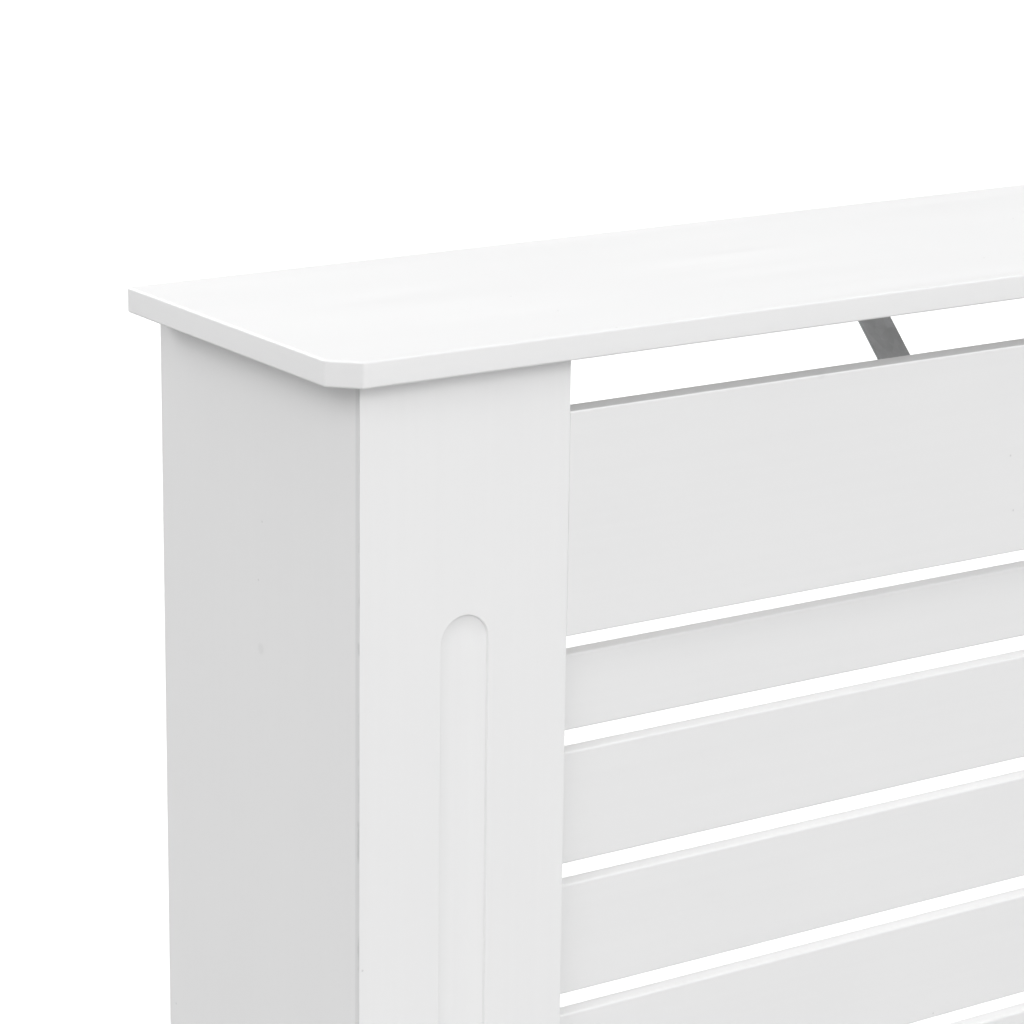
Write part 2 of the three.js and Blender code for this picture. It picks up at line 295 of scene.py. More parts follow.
@dataclass(frozen=True)
class SatinPaint:
    """White satin paint, rolled onto board and sanded between its coats.

    Repeats and cells are counted per metre; a pair holds those along the run and those across it.
    Where the seam's band fades and its dark core ends are shares of the seam's width.
    """

    name: str
    run: Run
    through: Run
    by_board: bool = False
    board_shift: float = 1.37
    bright: Colour = (0.885, 0.885, 0.885)
    dull: Colour = (0.873, 0.873, 0.874)
    scuff: Colour = (0.50, 0.50, 0.50)
    roughness: Point = (0.37, 0.48)
    cloud_repeats: float = 9.0
    mark_repeats: Point = (5.0, 260.0)
    mark_share: float = 0.4
    mark_depth: float = 0.006 * MM
    peel_repeats: float = 650.0
    peel_depth: float = 0.010 * MM
    spotted_share: float = 0.12
    spot_core: float = 0.4
    pit_cells: float = 24.0
    pit_size: float = 0.75 * MM
    pit_shade: float = 0.38
    smudge_cells: float = 8.0
    smudge_size: float = 3.6 * MM
    smudge_shade: float = 0.13
    seam_place: float | None = None
    seam_width: float = 3.2 * MM
    seam_shade: float = 0.22
    seam_fade: Point = (0.8, 1.0)
    seam_core: Point = (-0.5, 0.2)
    seam_rag_repeats: float = 210.0
    seam_patch_repeats: float = 42.0
    seam_patch_shade: float = 0.6
    seam_patches: Point = (0.42, 0.66)
    edge_shade: float = 0.0
    edge_turn: Point = (0.8, 0.97)

    def material(self) -> bpy.types.Material:
        """Builds the paint.

        Returns:
            The material.
        """
        material, graph, shader = new_material(self.name)
        place = graph.add("ShaderNodeTexCoord").outputs["Object"]
        if self.by_board:
            place = self._shifted(graph, place)
        clouds = graph.noise(place, self.cloud_repeats, detail=3.0)
        marks = graph.streaks(place, self.run, self.mark_repeats, detail=3.0)
        shade = graph.weigh((clouds, 1 - self.mark_share), (marks, self.mark_share))
        colour = graph.tint(graph.spread(shade, NARROW), self.dull, self.bright)
        flat = self._flat(graph, place)
        pits = self._spots(graph, flat, self.pit_cells, self.pit_size)
        smudges = self._spots(graph, flat, self.smudge_cells, self.smudge_size)
        worn = graph.weigh((pits, self.pit_shade), (smudges, self.smudge_shade))
        colour = graph.tint(worn, colour, self.scuff)
        if self.seam_place is not None:
            colour = graph.tint(self._seam(graph, place), colour, self.scuff)
        # Painted shade: faces that point straight up or down, such as a rail's top under the top board, are
        # darkened.
        if self.edge_shade:
            colour = graph.tint(self._cut_edges(graph), colour, self.scuff)
        peel = graph.bump(graph.noise(place, self.peel_repeats), self.peel_depth)
        graph.wire(shader.inputs["Base Color"], colour)
        graph.wire(shader.inputs["Roughness"], graph.spread(marks, MIDDLE, self.roughness))
        worked = graph.bump(graph.math("SUBTRACT", marks, pits), self.mark_depth, peel)
        graph.wire(shader.inputs["Normal"], worked)
        return material

    def _shifted(self, graph: Graph, place: Value) -> bpy.types.NodeSocket:
        """Moves the pattern from one board to the next, by the board's own number.

        Args:
            graph: The material's nodes.
            place: Where the paint is.

        Returns:
            The moved place.
        """
        number = graph.add("ShaderNodeAttribute", attribute_name="board").outputs["Fac"]
        shift = graph.join(X=graph.math("MULTIPLY", number, self.board_shift), Y=number)
        return graph.vector("ADD", place, shift)

    def _flat(self, graph: Graph, place: Value) -> bpy.types.NodeSocket:
        """Lays a place flat on the board's face, for patterns that don't run through the board."""
        first, second = (part for i, part in enumerate(graph.split(place)) if i != self.through.value)
        return graph.join(X=first, Y=second)

    def _spots(self, graph: Graph, flat: Value, cells: float, size: float) -> bpy.types.NodeSocket:
        """Strength of a few scattered soft spots in the paint, from 0 to 1.

        Args:
            graph: The material's nodes.
            flat: The place on the board's face.
            cells: Cells per metre, of which a few hold a spot.
            size: A spot's radius.

        Returns:
            The strength.
        """
        dots = graph.add("ShaderNodeTexVoronoi", {"Vector": flat, "Scale": cells}, voronoi_dimensions="2D")
        reach = size * cells
        near = graph.spread(dots.outputs["Distance"], (self.spot_core * reach, reach), (1.0, 0.0))
        lottery = graph.add("ShaderNodeSeparateColor", {"Color": dots.outputs["Color"]}).outputs["Red"]
        return graph.math("MULTIPLY", near, graph.math("LESS_THAN", lottery, self.spotted_share))

    def _cut_edges(self, graph: Graph) -> bpy.types.NodeSocket:
        """Strength of the painted shade that darkens the faces above and below a board, by how straight up or
        down they face.

        Args:
            graph: The material's nodes.

        Returns:
            The strength.
        """
        upright = graph.split(graph.add("ShaderNodeNewGeometry").outputs["True Normal"])["Z"]
        return graph.spread(graph.math("ABSOLUTE", upright), self.edge_turn, (0.0, self.edge_shade))

    def _seam(self, graph: Graph, place: Value) -> bpy.types.NodeSocket:
        """Strength of the uneven grey line that the mitre leaves along the board's front edge.

        Args:
            graph: The material's nodes.
            place: Where the paint is.

        Returns:
            The strength.
        """
        fade, core = (tuple(share * self.seam_width for share in shares)
                      for shares in (self.seam_fade, self.seam_core))
        away = graph.math("SUBTRACT", graph.split(place)["Y"], self.seam_place)
        band = graph.spread(away, fade, (self.seam_shade, 0.0))
        rag = graph.noise(place, self.seam_rag_repeats, detail=4.0)
        ragged = graph.math("SUBTRACT", away, graph.math("MULTIPLY", rag, self.seam_width))
        line = graph.spread(ragged, core, (1.0, 0.0))
        clouds = graph.noise(place, self.seam_patch_repeats, detail=3.0)
        patches = graph.spread(clouds, self.seam_patches, (0.0, self.seam_patch_shade))
        return graph.math("MAXIMUM", band, graph.math("MULTIPLY", line, patches))


@dataclass(frozen=True)
class SawnTimber:
    """Planed softwood or hardwood stick whose year rings lie round a pith outside its section.

    A pair of repeats holds those per metre along the grain and those across it. The summer wood
    darkens and ends at shares of a ring.
    """

    name: str
    run: Run
    pale: Colour
    dark: Colour
    ring: float
    pith: tuple[float, float, float]
    ring_strength: float = 0.75
    summer_rise: Point = (0.25, 0.9)
    summer_end: Point = (0.92, 1.0)
    ring_wander: float = 6.4 * MM
    wander_repeats: Point = (4.0, 22.0)
    fibre_repeats: Point = (14.0, 900.0)
    fibre_strength: float = 0.7
    cloud_repeats: Point = (3.0, 40.0)
    cloud_strength: float = 0.5
    roughness: Point = (0.56, 0.72)
    grain_depth: float = 0.05 * MM
    ring_relief: float = 0.6

    def material(self) -> bpy.types.Material:
        """Builds the timber.

        Returns:
            The material.
        """
        material, graph, shader = new_material(self.name)
        place = graph.add("ShaderNodeTexCoord").outputs["Object"]
        from_pith = graph.vector("SUBTRACT", place, self.pith)
        flat = graph.vector("MULTIPLY", from_pith, stretch(self.run, 0.0, 1.0))
        wander = graph.math("MULTIPLY", graph.streaks(place, self.run, self.wander_repeats), self.ring_wander)
        radius = graph.math("ADD", graph.vector("LENGTH", flat), wander)
        phase = graph.math("FRACT", graph.math("DIVIDE", radius, self.ring))
        summer = graph.math("MULTIPLY", graph.spread(phase, self.summer_rise),
                            graph.spread(phase, self.summer_end, (1.0, 0.0)))
        fibres = graph.streaks(place, self.run, self.fibre_repeats, detail=3.0)
        clouds = graph.streaks(place, self.run, self.cloud_repeats)
        tone = graph.weigh((summer, self.ring_strength),
                           (graph.math("SUBTRACT", clouds, 0.5), self.cloud_strength),
                           (graph.math("SUBTRACT", fibres, 0.5), self.fibre_strength))
        colour = graph.tint(graph.spread(tone, (0.0, 1.0)), self.pale, self.dark)
        relief = graph.math("ADD", fibres, graph.math("MULTIPLY", summer, self.ring_relief))
        graph.wire(shader.inputs["Base Color"], colour)
        graph.wire(shader.inputs["Roughness"], graph.spread(fibres, WIDE, self.roughness))
        graph.wire(shader.inputs["Normal"], graph.bump(relief, self.grain_depth))
        return material


@dataclass(frozen=True)
class ZincSteel:
    """Steel with a bright zinc plating: faint rolling lines, small crystals and dull patches.

    Repeats are counted per metre; a pair holds those along the rolling lines and those across them.
    """

    name: str
    run: Run
    bright: Colour = (0.60, 0.61, 0.62)
    dull: Colour = (0.50, 0.505, 0.51)
    roughness: Point = (0.66, 0.50)
    line_repeats: Point = (40.0, 2600.0)
    line_depth: float = 0.006 * MM
    patch_repeats: float = 70.0
    crystal_repeats: float = 240.0
    crystal_share: float = 0.15

    def material(self) -> bpy.types.Material:
        """Builds the plating.

        Returns:
            The material.
        """
        material, graph, shader = new_material(self.name)
        place = graph.add("ShaderNodeTexCoord").outputs["Object"]
        lines = graph.streaks(place, self.run, self.line_repeats)
        patches = graph.noise(place, self.patch_repeats, detail=4.0)
        crystal = graph.add("ShaderNodeTexVoronoi", {"Vector": place, "Scale": self.crystal_repeats})
        facet = graph.add("ShaderNodeSeparateColor", {"Color": crystal.outputs["Color"]}).outputs["Green"]
        tone = graph.weigh((patches, 1 - self.crystal_share), (facet, self.crystal_share))
        colour = graph.tint(graph.spread(tone, MIDDLE), self.dull, self.bright)
        graph.wire(shader.inputs["Base Color"], colour)
        graph.wire(shader.inputs["Roughness"], graph.spread(tone, WIDE, self.roughness))
        graph.wire(shader.inputs["Normal"], graph.bump(lines, self.line_depth))
        shader.inputs["Metallic"].default_value = 1.0
        return material


@dataclass(frozen=True)
class PaleFloor:
    """Plain pale studio floor without gloss, white from a step away, with a painted shadow: a little greyer
    round the cover.

    What it throws back onto the cover is less than what it shows.
    """

    name: str = "pale_floor"
    seen: Colour = (0.99, 0.99, 0.99)
    close_by: Colour = (0.80, 0.80, 0.80)
    close_reach: Point = (0.45, 0.87)
    thrown: Colour = (0.42, 0.42, 0.42)
    glow: float = 0.15
    roughness: float = 1.0

    def material(self) -> bpy.types.Material:
        """Builds the floor's finish.

        Returns:
            The material.
        """
        material, graph, shader = new_material(self.name)
        direct = graph.add("ShaderNodeLightPath").outputs["Is Camera Ray"]
        place = graph.add("ShaderNodeTexCoord").outputs["Object"]
        # Painted shadow: round the cover the camera sees a greyer floor without glow, fading to white further
        # out.
        away = graph.spread(graph.vector("LENGTH", place), self.close_reach)
        seen = graph.tint(away, self.close_by, self.seen)
        glow = graph.math("MULTIPLY", direct, graph.math("MULTIPLY", away, self.glow))
        graph.wire(shader.inputs["Base Color"], graph.tint(direct, self.thrown, seen))
        graph.wire(shader.inputs["Emission Strength"], glow)
        shader.inputs["Emission Color"].default_value = (1.0, 1.0, 1.0, 1.0)
        shader.inputs["Roughness"].default_value = self.roughness
        shader.inputs["Specular IOR Level"].default_value = 0.0
        return material


# ------------------------------------------------------------------ mesh helpers


def new_object(name: str, mesh: bpy.types.Mesh) -> bpy.types.Object:
    """Puts a mesh into the scene.

    Args:
        name: The object's name.
        mesh: Its mesh, in the frame's own coordinates.

    Returns:
        The new object, at the origin.
    """
    piece = bpy.data.objects.new(name, mesh)
    bpy.context.scene.collection.objects.link(piece)
    return piece


def close(name: str, bm: bmesh.types.BMesh) -> bpy.types.Object:
    """Turns an edited mesh into an object whose faces all point outwards.

    Args:
        name: The object's name.
        bm: A closed mesh, which is freed.

    Returns:
        The new object.
    """
    bmesh.ops.recalc_face_normals(bm, faces=bm.faces)
    mesh = bpy.data.meshes.new(name)
    bm.to_mesh(mesh)
    bm.free()
    return new_object(name, mesh)


def skin(bm: bmesh.types.BMesh, rings: Sequence[Sequence[bmesh.types.BMVert]]) -> None:
    """Joins rings of as many vertices each by bands of faces, from the first ring to the last.

    Args:
        bm: The mesh.
        rings: Its rings.
    """
    for lower, upper in zip(rings, rings[1:]):
        for i in range(len(lower)):
            j = (i + 1) % len(lower)
            bm.faces.new((lower[i], lower[j], upper[j], upper[i]))


def loft(name: str, rings: Sequence[Sequence[Sequence[float]]]) -> bpy.types.Object:
    """Makes a closed solid between a first and a last ring, over any rings between them.

    Args:
        name: The object's name.
        rings: The corners of each ring.

    Returns:
        The closed solid.
    """
    bm = bmesh.new()
    loops = [[bm.verts.new(corner) for corner in ring] for ring in rings]
    skin(bm, loops)
    bm.faces.new(loops[0])
    bm.faces.new(loops[-1])
    return close(name, bm)


def prism(name: str, outline: Sequence[Point], low: float, high: float) -> bpy.types.Object:
    """Extrudes a flat outline upwards.

    Args:
        name: The object's name.
        outline: Points on X and Y.
        low: Where the extrusion starts.
        high: Where it ends.

    Returns:
        The closed solid.
    """
    return loft(name, [[(x, y, level) for x, y in outline] for level in (low, high)])


def block(name: str, low: Vector, high: Vector) -> bpy.types.Object:
    """Makes a box between two corners."""
    outline = [(low.x, low.y), (high.x, low.y), (high.x, high.y), (low.x, high.y)]
    return prism(name, outline, low.z, high.z)


def settle(piece: bpy.types.Object) -> None:
    """Turns a piece's modifiers into its own plain mesh.

    Args:
        piece: The piece, whose modifiers are taken off.
    """
    evaluated = piece.evaluated_get(bpy.context.evaluated_depsgraph_get())
    mesh = bpy.data.meshes.new_from_object(evaluated)
    mesh.name = piece.name
    piece.modifiers.clear()
    piece.data = mesh


def carve(piece: bpy.types.Object, cutters: Sequence[bpy.types.Object]) -> None:
    """Cuts other solids out of a piece and removes them.

    Args:
        piece: The piece to cut.
        cutters: The solids to cut away.
    """
    for cutter in cutters:
        modifier = piece.modifiers.new("cut", "BOOLEAN")
        modifier.operation = "DIFFERENCE"
        modifier.solver = "EXACT"
        modifier.object = cutter
    settle(piece)
    for cutter in cutters:
        bpy.data.objects.remove(cutter)


def soften(piece: bpy.types.Object, widest: float,
           arris: Callable[[Vector, Vector], float] | None = None) -> None:
    """Rounds the arrises of a piece and evens its shading.

    Args:
        piece: The piece.
        widest: Width of the widest arris.
        arris: Gives an edge's own width from its two ends; without it, every edge has the widest.
    """
    sharp_angle, facets = math.radians(35), 3
    bm = bmesh.new()
    bm.from_mesh(piece.data)
    weight = bm.edges.layers.float.new("bevel_weight_edge")
    for edge in bm.edges:
        if edge.is_manifold and edge.calc_face_angle() > sharp_angle:
            edge[weight] = arris(edge.verts[0].co, edge.verts[1].co) / widest if arris else 1.0
    for face in bm.faces:
        face.smooth = True
    bm.to_mesh(piece.data)
    bm.free()
    bevel = piece.modifiers.new("arris", "BEVEL")
    bevel.limit_method = "WEIGHT"
    bevel.width = widest
    bevel.segments = facets
    even_shading(piece)


def even_shading(piece: bpy.types.Object) -> None:
    """Lets the large flat faces of a smooth piece lead its shading.

    Args:
        piece: The piece.
    """
    normals = piece.modifiers.new("shading", "WEIGHTED_NORMAL")
    normals.keep_sharp = True
    normals.weight = 100


def shade_by_angle(piece: bpy.types.Object, degrees: float = 30.0) -> None:
    """Shades a piece smoothly, except over edges sharper than the angle."""
    piece.data.shade_smooth()
    piece.data.set_sharp_from_angle(angle=math.radians(degrees))


def turned(name: str, rings: Sequence[tuple[float, Radius]], sides: int) -> bpy.types.Object:
    """Makes a closed bar round the Z axis from stacked rings.

    Args:
        name: The object's name.
        rings: For each ring its height, and its radius as a function of the angle.
        sides: Points round a ring.

    Returns:
        The closed solid.
    """
    angles = [math.tau * i / sides for i in range(sides)]
    return loft(name, [[(radius(angle) * math.cos(angle), radius(angle) * math.sin(angle), height)
                        for angle in angles] for height, radius in rings])


def dress(piece: bpy.types.Object, material: bpy.types.Material, nodes: Sequence[str]) -> None:
    """Finishes a piece, lets it stand for its nodes and reports it.

    Args:
        piece: The piece, with its place in its mesh.
        material: Its finish.
        nodes: The frame's nodes that it replaces.
    """
    piece.data.materials.clear()
    piece.data.materials.append(material)
    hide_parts(*nodes)
    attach(piece, BODY)
    log.info("%s: %s, for %s", piece.name, material.name, ", ".join(nodes))


# ------------------------------------------------------------------ geometry nodes


class GeometryTree:
    """A Geometry Nodes tree with named inputs, which grows plain meshes."""

    def __init__(self, name: str) -> None:
        """Starts the tree with its material input.

        Args:
            name: The tree's name.
        """
        self.group = bpy.data.node_groups.new(name, "GeometryNodeTree")
        self.graph = Graph(self.group)
        self.group.interface.new_socket("Geometry", in_out="INPUT", socket_type="NodeSocketGeometry")
        self.group.interface.new_socket("Geometry", in_out="OUTPUT", socket_type="NodeSocketGeometry")
        self.entry = self.graph.add("NodeGroupInput")
        self.input("Finish", "NodeSocketMaterial")

    def input(self, name: str, kind: str) -> bpy.types.NodeSocket:
        """Adds a named input and returns its socket inside the tree."""
        self.group.interface.new_socket(name, in_out="INPUT", socket_type=kind)
        return self.entry.outputs[name]

    def end(self, geometry: bpy.types.NodeSocket) -> None:
        """Ends the tree with real meshes in their finish.

        Args:
            geometry: What the tree has made.
        """
        real = self.graph.add("GeometryNodeRealizeInstances", {"Geometry": geometry})
        finish = {"Geometry": real.outputs["Geometry"], "Material": self.entry.outputs["Finish"]}
        dressed = self.graph.add("GeometryNodeSetMaterial", finish)
        self.graph.add("NodeGroupOutput", {"Geometry": dressed.outputs["Geometry"]})

    def grow(self, name: str, values: dict[str, object],
             entering: bpy.types.Mesh | None = None) -> bpy.types.Object:
        """Runs the tree once and keeps the result as a plain mesh.

        Args:
            name: The new object's name.
            values: A value for each named input.
            entering: The mesh that enters the tree, if it reads one.

        Returns:
            The new object, without a modifier.
        """
        piece = new_object(name, entering or bpy.data.meshes.new(name))
        modifier = piece.modifiers.new(self.group.name, "NODES")
        modifier.node_group = self.group
        for item in self.group.interface.items_tree:
            if item.in_out == "INPUT" and item.name in values:
                modifier[item.identifier] = values[item.name]
        settle(piece)
        return piece


def slat_rows_tree() -> GeometryTree:
    """Builds the tree that makes rows of slats with rounded arrises, one above another.

    Returns:
        The tree. Its rows are numbered by the attribute "board".
    """
    tree = GeometryTree("slat_rows")
    graph = tree.graph
    floats = ("Length", "Thickness", "Height", "Pitch", "Arris")
    length, thickness, height, pitch, arris = (tree.input(name, "NodeSocketFloat") for name in floats)
    rows = tree.input("Rows", "NodeSocketInt")
    first = tree.input("First row", "NodeSocketVector")
    number = tree.input("First number", "NodeSocketInt")

    section = graph.add("GeometryNodeCurvePrimitiveQuadrilateral", {"Width": thickness, "Height": height})
    rounded = fillet(graph, section.outputs["Curve"], arris, steps=4)
    half = graph.math("MULTIPLY", length, 0.5)
    ends = {"Start": graph.join(X=graph.math("MULTIPLY", half, -1.0)), "End": graph.join(X=half)}
    line = graph.add("GeometryNodeCurvePrimitiveLine", ends)
    bar = graph.add("GeometryNodeCurveToMesh", {"Curve": line.outputs["Curve"], "Profile Curve": rounded,
                                                "Fill Caps": True})
    step = graph.join(Z=graph.math("MULTIPLY", pitch, -1.0))
    ladder = graph.add("GeometryNodeMeshLine", {"Count": rows, "Start Location": first, "Offset": step})
    copies = graph.add("GeometryNodeInstanceOnPoints", {"Points": ladder.outputs["Mesh"],
                                                        "Instance": bar.outputs["Mesh"]})
    index = graph.math("ADD", graph.add("GeometryNodeInputIndex").outputs["Index"], number)
    marked = graph.add("GeometryNodeStoreNamedAttribute", {"Geometry": copies.outputs["Instances"],
                                                           "Name": "board", "Value": index},
                       data_type="FLOAT", domain="INSTANCE")
    tree.end(marked.outputs["Geometry"])
    return tree


def fillet(graph: Graph, curve: Value, radius: Value, steps: int) -> bpy.types.NodeSocket:
    """Rounds the corners of a curve.

    Args:
        graph: The tree that the curve is in.
        curve: The curve.
        radius: Radius of each corner.
        steps: Points round a corner.

    Returns:
        The rounded curve.
    """
    inputs = {"Curve": curve, "Radius": radius, "Count": steps}
    return graph.add("GeometryNodeFilletCurve", inputs, mode="POLY").outputs["Curve"]


def folded_strip_tree() -> GeometryTree:
    """Builds the tree that folds a flat steel strip along a path of straight legs.

    Returns:
        The tree. The mesh that enters it is the strip's middle line.
    """
    tree = GeometryTree("folded_strip")
    graph = tree.graph
    floats = ("Width", "Thickness", "Fold radius", "Edge radius")
    width, thickness, fold, edge = (tree.input(name, "NodeSocketFloat") for name in floats)
    across = tree.input("Across", "NodeSocketVector")

    path = graph.add("GeometryNodeMeshToCurve", {"Mesh": tree.entry.outputs["Geometry"]})
    folded = fillet(graph, path.outputs["Curve"], fold, steps=8)
    level = graph.add("GeometryNodeSetCurveNormal", {"Curve": folded, "Normal": across}, mode="FREE")
    section = graph.add("GeometryNodeCurvePrimitiveQuadrilateral", {"Width": width, "Height": thickness})
    rounded = fillet(graph, section.outputs["Curve"], edge, steps=3)
    strip = graph.add("GeometryNodeCurveToMesh", {"Curve": level.outputs["Curve"], "Profile Curve": rounded,
                                                  "Fill Caps": True})
    tree.end(strip.outputs["Mesh"])
    return tree


def fastener_tree() -> GeometryTree:
    """Builds the tree that sets a fastener at each point, turned about its own axis at random.

    Returns:
        The tree. The mesh that enters it holds the points, with their directions in "aim".
    """
    tree = GeometryTree("fasteners")
    graph = tree.graph
    shape = tree.input("Shape", "NodeSocketObject")
    seed = tree.input("Seed", "NodeSocketInt")

    aim = graph.add("GeometryNodeInputNamedAttribute", {"Name": "aim"}, data_type="FLOAT_VECTOR")
    facing = graph.add("FunctionNodeAlignRotationToVector", {"Vector": aim.outputs["Attribute"]}, axis="Z")
    # Of the sockets of one name, input 3 and output 1 are the ones for plain numbers.
    chance = graph.add("FunctionNodeRandomValue", {"Seed": seed, 3: math.tau}, data_type="FLOAT")
    turn = graph.add("FunctionNodeEulerToRotation", {"Euler": graph.join(Z=chance.outputs[1])})
    placed = graph.add("FunctionNodeRotateRotation", {"Rotation": facing.outputs["Rotation"],
                                                      "Rotate By": turn.outputs["Rotation"]},
                       rotation_space="LOCAL")
    master = graph.add("GeometryNodeObjectInfo", {"Object": shape})
    copies = graph.add("GeometryNodeInstanceOnPoints", {"Points": tree.entry.outputs["Geometry"],
                                                        "Instance": master.outputs["Geometry"],
                                                        "Rotation": placed.outputs["Rotation"]})
    tree.end(copies.outputs["Instances"])
    return tree


# ------------------------------------------------------------------ the cover's sub-assemblies


@dataclass
class TopBoard:
    """The top board, with its clipped front corners and its soft upper and lower arrises."""

    corner_clip: float = 12.5 * MM
    arris: float = 1.1 * MM

    def build(self) -> None:
        """Builds and finishes the board."""
        low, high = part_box("top_board")
        clip = self.corner_clip
        outline = [(low.x, high.y), (low.x, low.y + clip), (low.x + clip, low.y),
                   (high.x - clip, low.y), (high.x, low.y + clip), (high.x, high.y)]
        piece = prism("top_board_painted", outline, low.z, high.z)
        soften(piece, self.arris)
        # The brighter white is painted light: it stands in for the stronger light falling on the board's top.
        paint = SatinPaint("satin_paint_top", Run.ALONG_X, Run.ALONG_Z, bright=BRIGHTER_WHITE, dull=BRIGHTER_WHITE_DULL)
        dress(piece, paint.material(), ["top_board"])


@dataclass
class Leg:
    """One leg: a side panel mitred to a grooved front post, with the two battens inside it."""

    side: Side
    panel_paint: bpy.types.Material
    post_paint: bpy.types.Material
    corner_pine: bpy.types.Material
    top_pine: bpy.types.Material
    skirting_depth: float = 15 * MM
    skirting_height: float = 100 * MM
    panel_arris: float = 0.5 * MM
    post_arris: float = 0.4 * MM
    rail_side_arris: float = 0.5 * MM
    head_arris: float = 1.3 * MM
    mitre_filling: float = 0.37 * MM
    batten_arris: float = 1.0 * MM
    groove_width: float = 25 * MM
    groove_depth: float = 2.4 * MM
    groove_wall: float = 0.6 * MM
    groove_wall_depth: float = 1.3 * MM
    groove_dish: float = 7.5 * MM
    groove_end_margin: float = 112 * MM
    groove_wall_steps: int = 5
    groove_dish_steps: int = 8
    groove_arc_steps: int = 32
    groove_rim: float = 0.5 * MM

    def build(self) -> None:
        """Builds and finishes the leg's pieces."""
        word = self.side.word
        dress(self.panel(), self.panel_paint, [f"{word}_side_panel"])
        dress(self.post(), self.post_paint, [f"{word}_front_post"])
        for place, pine in (("corner", self.corner_pine), ("top", self.top_pine)):
            node = f"{word}_{place}_batten"
            batten = block(f"{node}_sawn", *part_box(node))
            soften(batten, self.batten_arris)
            dress(batten, pine, [node])

    def panel(self) -> bpy.types.Object:
        """Makes the side panel, mitred in front and cut out for the skirting behind.

        Returns:
            The side panel.
        """
        low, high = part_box(f"{self.side.word}_side_panel")
        thickness = high.x - low.x
        inner, outer = self._inner_outer(low, high)
        front = low.y - self.mitre_filling
        outline = [(outer, front), (outer, high.y), (inner, high.y), (inner, front + thickness)]
        piece = prism(f"{self.side.word}_side_panel_painted", outline, low.z, high.z)
        margin = thickness
        notch_low = Vector((low.x - margin, high.y - self.skirting_depth, low.z - margin))
        notch_high = Vector((high.x + margin, high.y + margin, low.z + self.skirting_height))
        carve(piece, [block("skirting_notch", notch_low, notch_high)])

        def arris(first: Vector, second: Vector) -> float:
            """The arris between two corners, which is wider under the top board."""
            return self.head_arris if min(first.z, second.z) > high.z - MM else self.panel_arris

        soften(piece, self.head_arris, arris)
        return piece

    def post(self) -> bpy.types.Object:
        """Makes the front post with the groove routed in its face.

        Returns:
            The post.
        """
        low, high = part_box(f"{self.side.word}_front_post")
        inner, outer = self._inner_outer(low, high)
        mitred = outer - self.side.value * (high.y - low.y)
        middle = (inner + outer) / 2
        bm = bmesh.new()
        section = [(inner, low.y), (middle, low.y), (outer, low.y), (mitred, high.y), (inner, high.y)]
        bottom, top = ([bm.verts.new((x, y, z)) for x, y in section] for z in (low.z, high.z))
        bm.faces.new(bottom)
        bm.faces.new(top)
        for i, j in ((2, 3), (3, 4), (4, 0)):
            bm.faces.new((bottom[i], bottom[j], top[j], top[i]))
        rim = self._groove(bm, middle, low.y, low.z + self.groove_end_margin, high.z - self.groove_end_margin)
        half = len(rim) // 2
        left, right = (0, 2) if self.side is Side.RIGHT else (2, 0)
        bm.faces.new((bottom[1], bottom[right], top[right], top[1], *rim[half::-1]))
        bm.faces.new((top[1], top[left], bottom[left], bottom[1], rim[0], *rim[:half - 1:-1]))
        piece = close(f"{self.side.word}_front_post_painted", bm)

        def arris(first: Vector, second: Vector) -> float:
            """The arris between two corners, wider under the top board and tighter at the rails.

            Args:
                first: A corner.
                second: The other corner.

            Returns:
                The arris's width.
            """
            if min(first.z, second.z) > high.z - MM:
                return self.head_arris
            at_rails = abs(first.x - inner) < MM and abs(second.x - inner) < MM
            return self.rail_side_arris if at_rails else self.post_arris

        soften(piece, self.head_arris, arris)
        return piece

    def _inner_outer(self, low: Vector, high: Vector) -> Point:
        """The X coordinates of a board's inner and outer faces."""
        return (low.x, high.x) if self.side is Side.RIGHT else (high.x, low.x)

    def _groove(self, bm: bmesh.types.BMesh, middle: float, face: float, low: float,
                high: float) -> list[bmesh.types.BMVert]:
        """Adds the groove: pill-shaped, with a steep wall that runs out into a shallow dish.

        Args:
            bm: The post's mesh.
            middle: X of the groove's middle line.
            face: Y of the post's face.
            low: Z of the groove's lower end.
            high: Z of its upper end.

        Returns:
            The vertices of the rim, anticlockwise from the lowest one as seen from the front.
        """
        mouth = self.groove_width / 2
        centres = (low + mouth, high - mouth)
        levels = [(mouth + self.groove_rim, 0.0)]
        for i in range(self.groove_wall_steps + 1):
            share = i / self.groove_wall_steps
            sunk = math.sin(share * math.pi / 2)
            levels.append((mouth - share * self.groove_wall, self.groove_wall_depth * sunk))
        fall = self.groove_depth - self.groove_wall_depth
        for i in range(1, self.groove_dish_steps + 1):
            share = i / self.groove_dish_steps
            sunk = math.sin(share * math.pi / 2)
            levels.append((mouth - self.groove_wall - share * self.groove_dish,
                           self.groove_wall_depth + fall * sunk))
        half_turn, quarter = self.groove_arc_steps, self.groove_arc_steps // 2
        stations = [(centres[0], math.pi / 2 * (i / quarter - 1)) for i in range(quarter + 1)]
        stations += [(centres[1], math.pi * i / half_turn) for i in range(half_turn + 1)]
        stations += [(centres[0], math.pi * (1 + i / half_turn)) for i in range(quarter)]
        loops = []
        for radius, depth in levels:
            corners = [(middle + radius * math.cos(angle), face + depth, centre + radius * math.sin(angle))
                       for centre, angle in stations]
            loops.append([bm.verts.new(corner) for corner in corners])
        skin(bm, loops)
        bm.faces.new(loops[-1])
        return loops[0]


